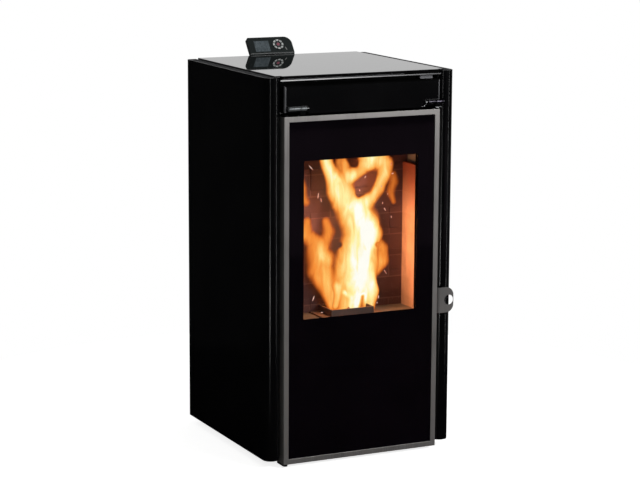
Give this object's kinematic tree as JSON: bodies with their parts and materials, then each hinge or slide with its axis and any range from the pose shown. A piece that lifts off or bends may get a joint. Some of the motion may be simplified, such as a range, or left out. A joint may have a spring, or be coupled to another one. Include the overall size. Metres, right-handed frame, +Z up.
{
  "type": "pellet stove",
  "caption": "Tall black pellet stove with a full-height glass door, half-round corner columns, tilting front panel, glass lid over the hopper and a tilting control display.",
  "frame": {"origin": "on the floor under the middle of the stove's bounding box", "axes": "+Z up, -Y to the front where the door is, +Y to the rear where the flue leaves, +X to the right seen from the front"},
  "size_m": [0.489, 0.5294, 0.9637],
  "materials": {
    "black_steel": "satin",
    "strip_steel": "satin",
    "inner_steel": "matte",
    "zinc_steel": "satin",
    "cast_iron": "rough",
    "vermiculite": "matte",
    "door_glass": "polished",
    "lid_glass": "polished",
    "seal_rope": "matte",
    "dark_plastic": "satin",
    "screen": "polished",
    "light_keys": "satin",
    "rubber": "matte"
  },
  "bodies": {
    "stove": {"side_panel_left": "black_steel", "side_panel_right": "black_steel", "base_plate": "black_steel", "top_deck": "black_steel", "face_frame": "black_steel", "rear_frame": "zinc_steel", "rear_panel": "black_steel", "case_screws": "zinc_steel", "firebox_shell": "inner_steel", "back_lining": "vermiculite", "side_lining_left": "vermiculite", "side_lining_right": "vermiculite", "baffle_plate": "vermiculite", "burn_pot": "cast_iron", "ash_pan": "inner_steel", "igniter": "zinc_steel", "heat_exchanger_tubes": "inner_steel", "air_duct": "zinc_steel", "smoke_duct": "zinc_steel", "hopper": "zinc_steel", "auger_tube": "inner_steel", "auger_gearmotor": "zinc_steel", "exhaust_fan_housing": "zinc_steel", "exhaust_fan_motor": "zinc_steel", "flue_spigot": "black_steel", "air_inlet_pipe": "zinc_steel", "blower_housing": "zinc_steel", "blower_motor": "zinc_steel", "control_board_box": "dark_plastic", "power_inlet": "dark_plastic", "lid_hinges": "zinc_steel", "lid_catch": "zinc_steel", "door_hinges": "black_steel", "door_magnets": "zinc_steel", "flap_hinges": "zinc_steel", "display_bracket": "black_steel"},
    "door": {"door_tray": "strip_steel", "door_glass": "door_glass", "door_liner": "inner_steel", "door_seal": "seal_rope", "glass_clips": "zinc_steel", "door_handle": "strip_steel"},
    "lid": {"lid_tray": "black_steel", "lid_glass": "lid_glass"},
    "flap": {"flap_panel": "black_steel"},
    "display": {"display_housing": "dark_plastic", "display_screen": "screen"},
    "key_right": {"key_right": "light_keys"},
    "key_up": {"key_up": "light_keys"},
    "key_left": {"key_left": "light_keys"},
    "key_down": {"key_down": "light_keys"},
    "key_power": {"key_power": "light_keys"},
    "rocker": {"power_rocker": "dark_plastic"},
    "auger": {"auger_screw": "zinc_steel"},
    "exhaust_wheel": {"exhaust_fan_wheel": "zinc_steel"},
    "blower_wheel": {"blower_wheel": "zinc_steel"},
    "foot_front_left": {"foot_front_left": "rubber"},
    "foot_front_right": {"foot_front_right": "rubber"},
    "foot_rear_left": {"foot_rear_left": "rubber"},
    "foot_rear_right": {"foot_rear_right": "rubber"}
  },
  "joints": [
    {"name": "door_hinge", "type": "hinge", "parent": "stove", "child": "door", "pos_m": [-0.19575, -0.249, 0.009], "axis": [0, 0, -1], "range_deg": [0, 110]},
    {"name": "lid_hinge", "type": "hinge", "parent": "stove", "child": "lid", "pos_m": [0, 0.21, 0.91], "axis": [-1, 0, 0], "range_deg": [0, 80]},
    {"name": "flap_tilt", "type": "hinge", "parent": "stove", "child": "flap", "pos_m": [0, -0.2606, 0.8486], "axis": [1, 0, 0], "range_deg": [0, 25]},
    {"name": "display_tilt", "type": "hinge", "parent": "stove", "child": "display", "pos_m": [-0.011, 0.2326, 0.925], "axis": [1, 0, 0], "range_deg": [-40, 30]},
    {"name": "rocker_switch", "type": "hinge", "parent": "stove", "child": "rocker", "pos_m": [-0.15, 0.216, 0.125], "axis": [-1, 0, 0], "range_deg": [0, 14]},
    {"name": "auger_turn", "type": "hinge", "parent": "stove", "child": "auger", "pos_m": [0, 0.11, 0.3], "axis": [0, -0.7071, 0.7071], "continuous": true},
    {"name": "exhaust_fan_turn", "type": "hinge", "parent": "stove", "child": "exhaust_wheel", "pos_m": [0.125, 0.02, 0.19], "axis": [1, 0, 0], "continuous": true},
    {"name": "blower_turn", "type": "hinge", "parent": "stove", "child": "blower_wheel", "pos_m": [-0.115, 0.01, 0.17], "axis": [1, 0, 0], "continuous": true},
    {"name": "press_right", "type": "slide", "parent": "display", "child": "key_right", "axis": [0, 0.7965, -0.6046], "range_m": [0, 0.001], "stiffness_N_per_m": 150, "springref_m": -0.001},
    {"name": "press_up", "type": "slide", "parent": "display", "child": "key_up", "axis": [0, 0.7965, -0.6046], "range_m": [0, 0.001], "stiffness_N_per_m": 150, "springref_m": -0.001},
    {"name": "press_left", "type": "slide", "parent": "display", "child": "key_left", "axis": [0, 0.7965, -0.6046], "range_m": [0, 0.001], "stiffness_N_per_m": 150, "springref_m": -0.001},
    {"name": "press_down", "type": "slide", "parent": "display", "child": "key_down", "axis": [0, 0.7965, -0.6046], "range_m": [0, 0.001], "stiffness_N_per_m": 150, "springref_m": -0.001},
    {"name": "press_power", "type": "slide", "parent": "display", "child": "key_power", "axis": [0, 0.7965, -0.6046], "range_m": [0, 0.001], "stiffness_N_per_m": 150, "springref_m": -0.001},
    {"name": "level_front_left", "type": "hinge", "parent": "stove", "child": "foot_front_left", "pos_m": [-0.165, -0.168, 0], "axis": [0, 0, 1], "continuous": true},
    {"name": "level_front_right", "type": "hinge", "parent": "stove", "child": "foot_front_right", "pos_m": [0.165, -0.168, 0], "axis": [0, 0, 1], "continuous": true},
    {"name": "level_rear_left", "type": "hinge", "parent": "stove", "child": "foot_rear_left", "pos_m": [-0.165, 0.175, 0], "axis": [0, 0, 1], "continuous": true},
    {"name": "level_rear_right", "type": "hinge", "parent": "stove", "child": "foot_rear_right", "pos_m": [0.165, 0.175, 0], "axis": [0, 0, 1], "continuous": true}
  ]
}
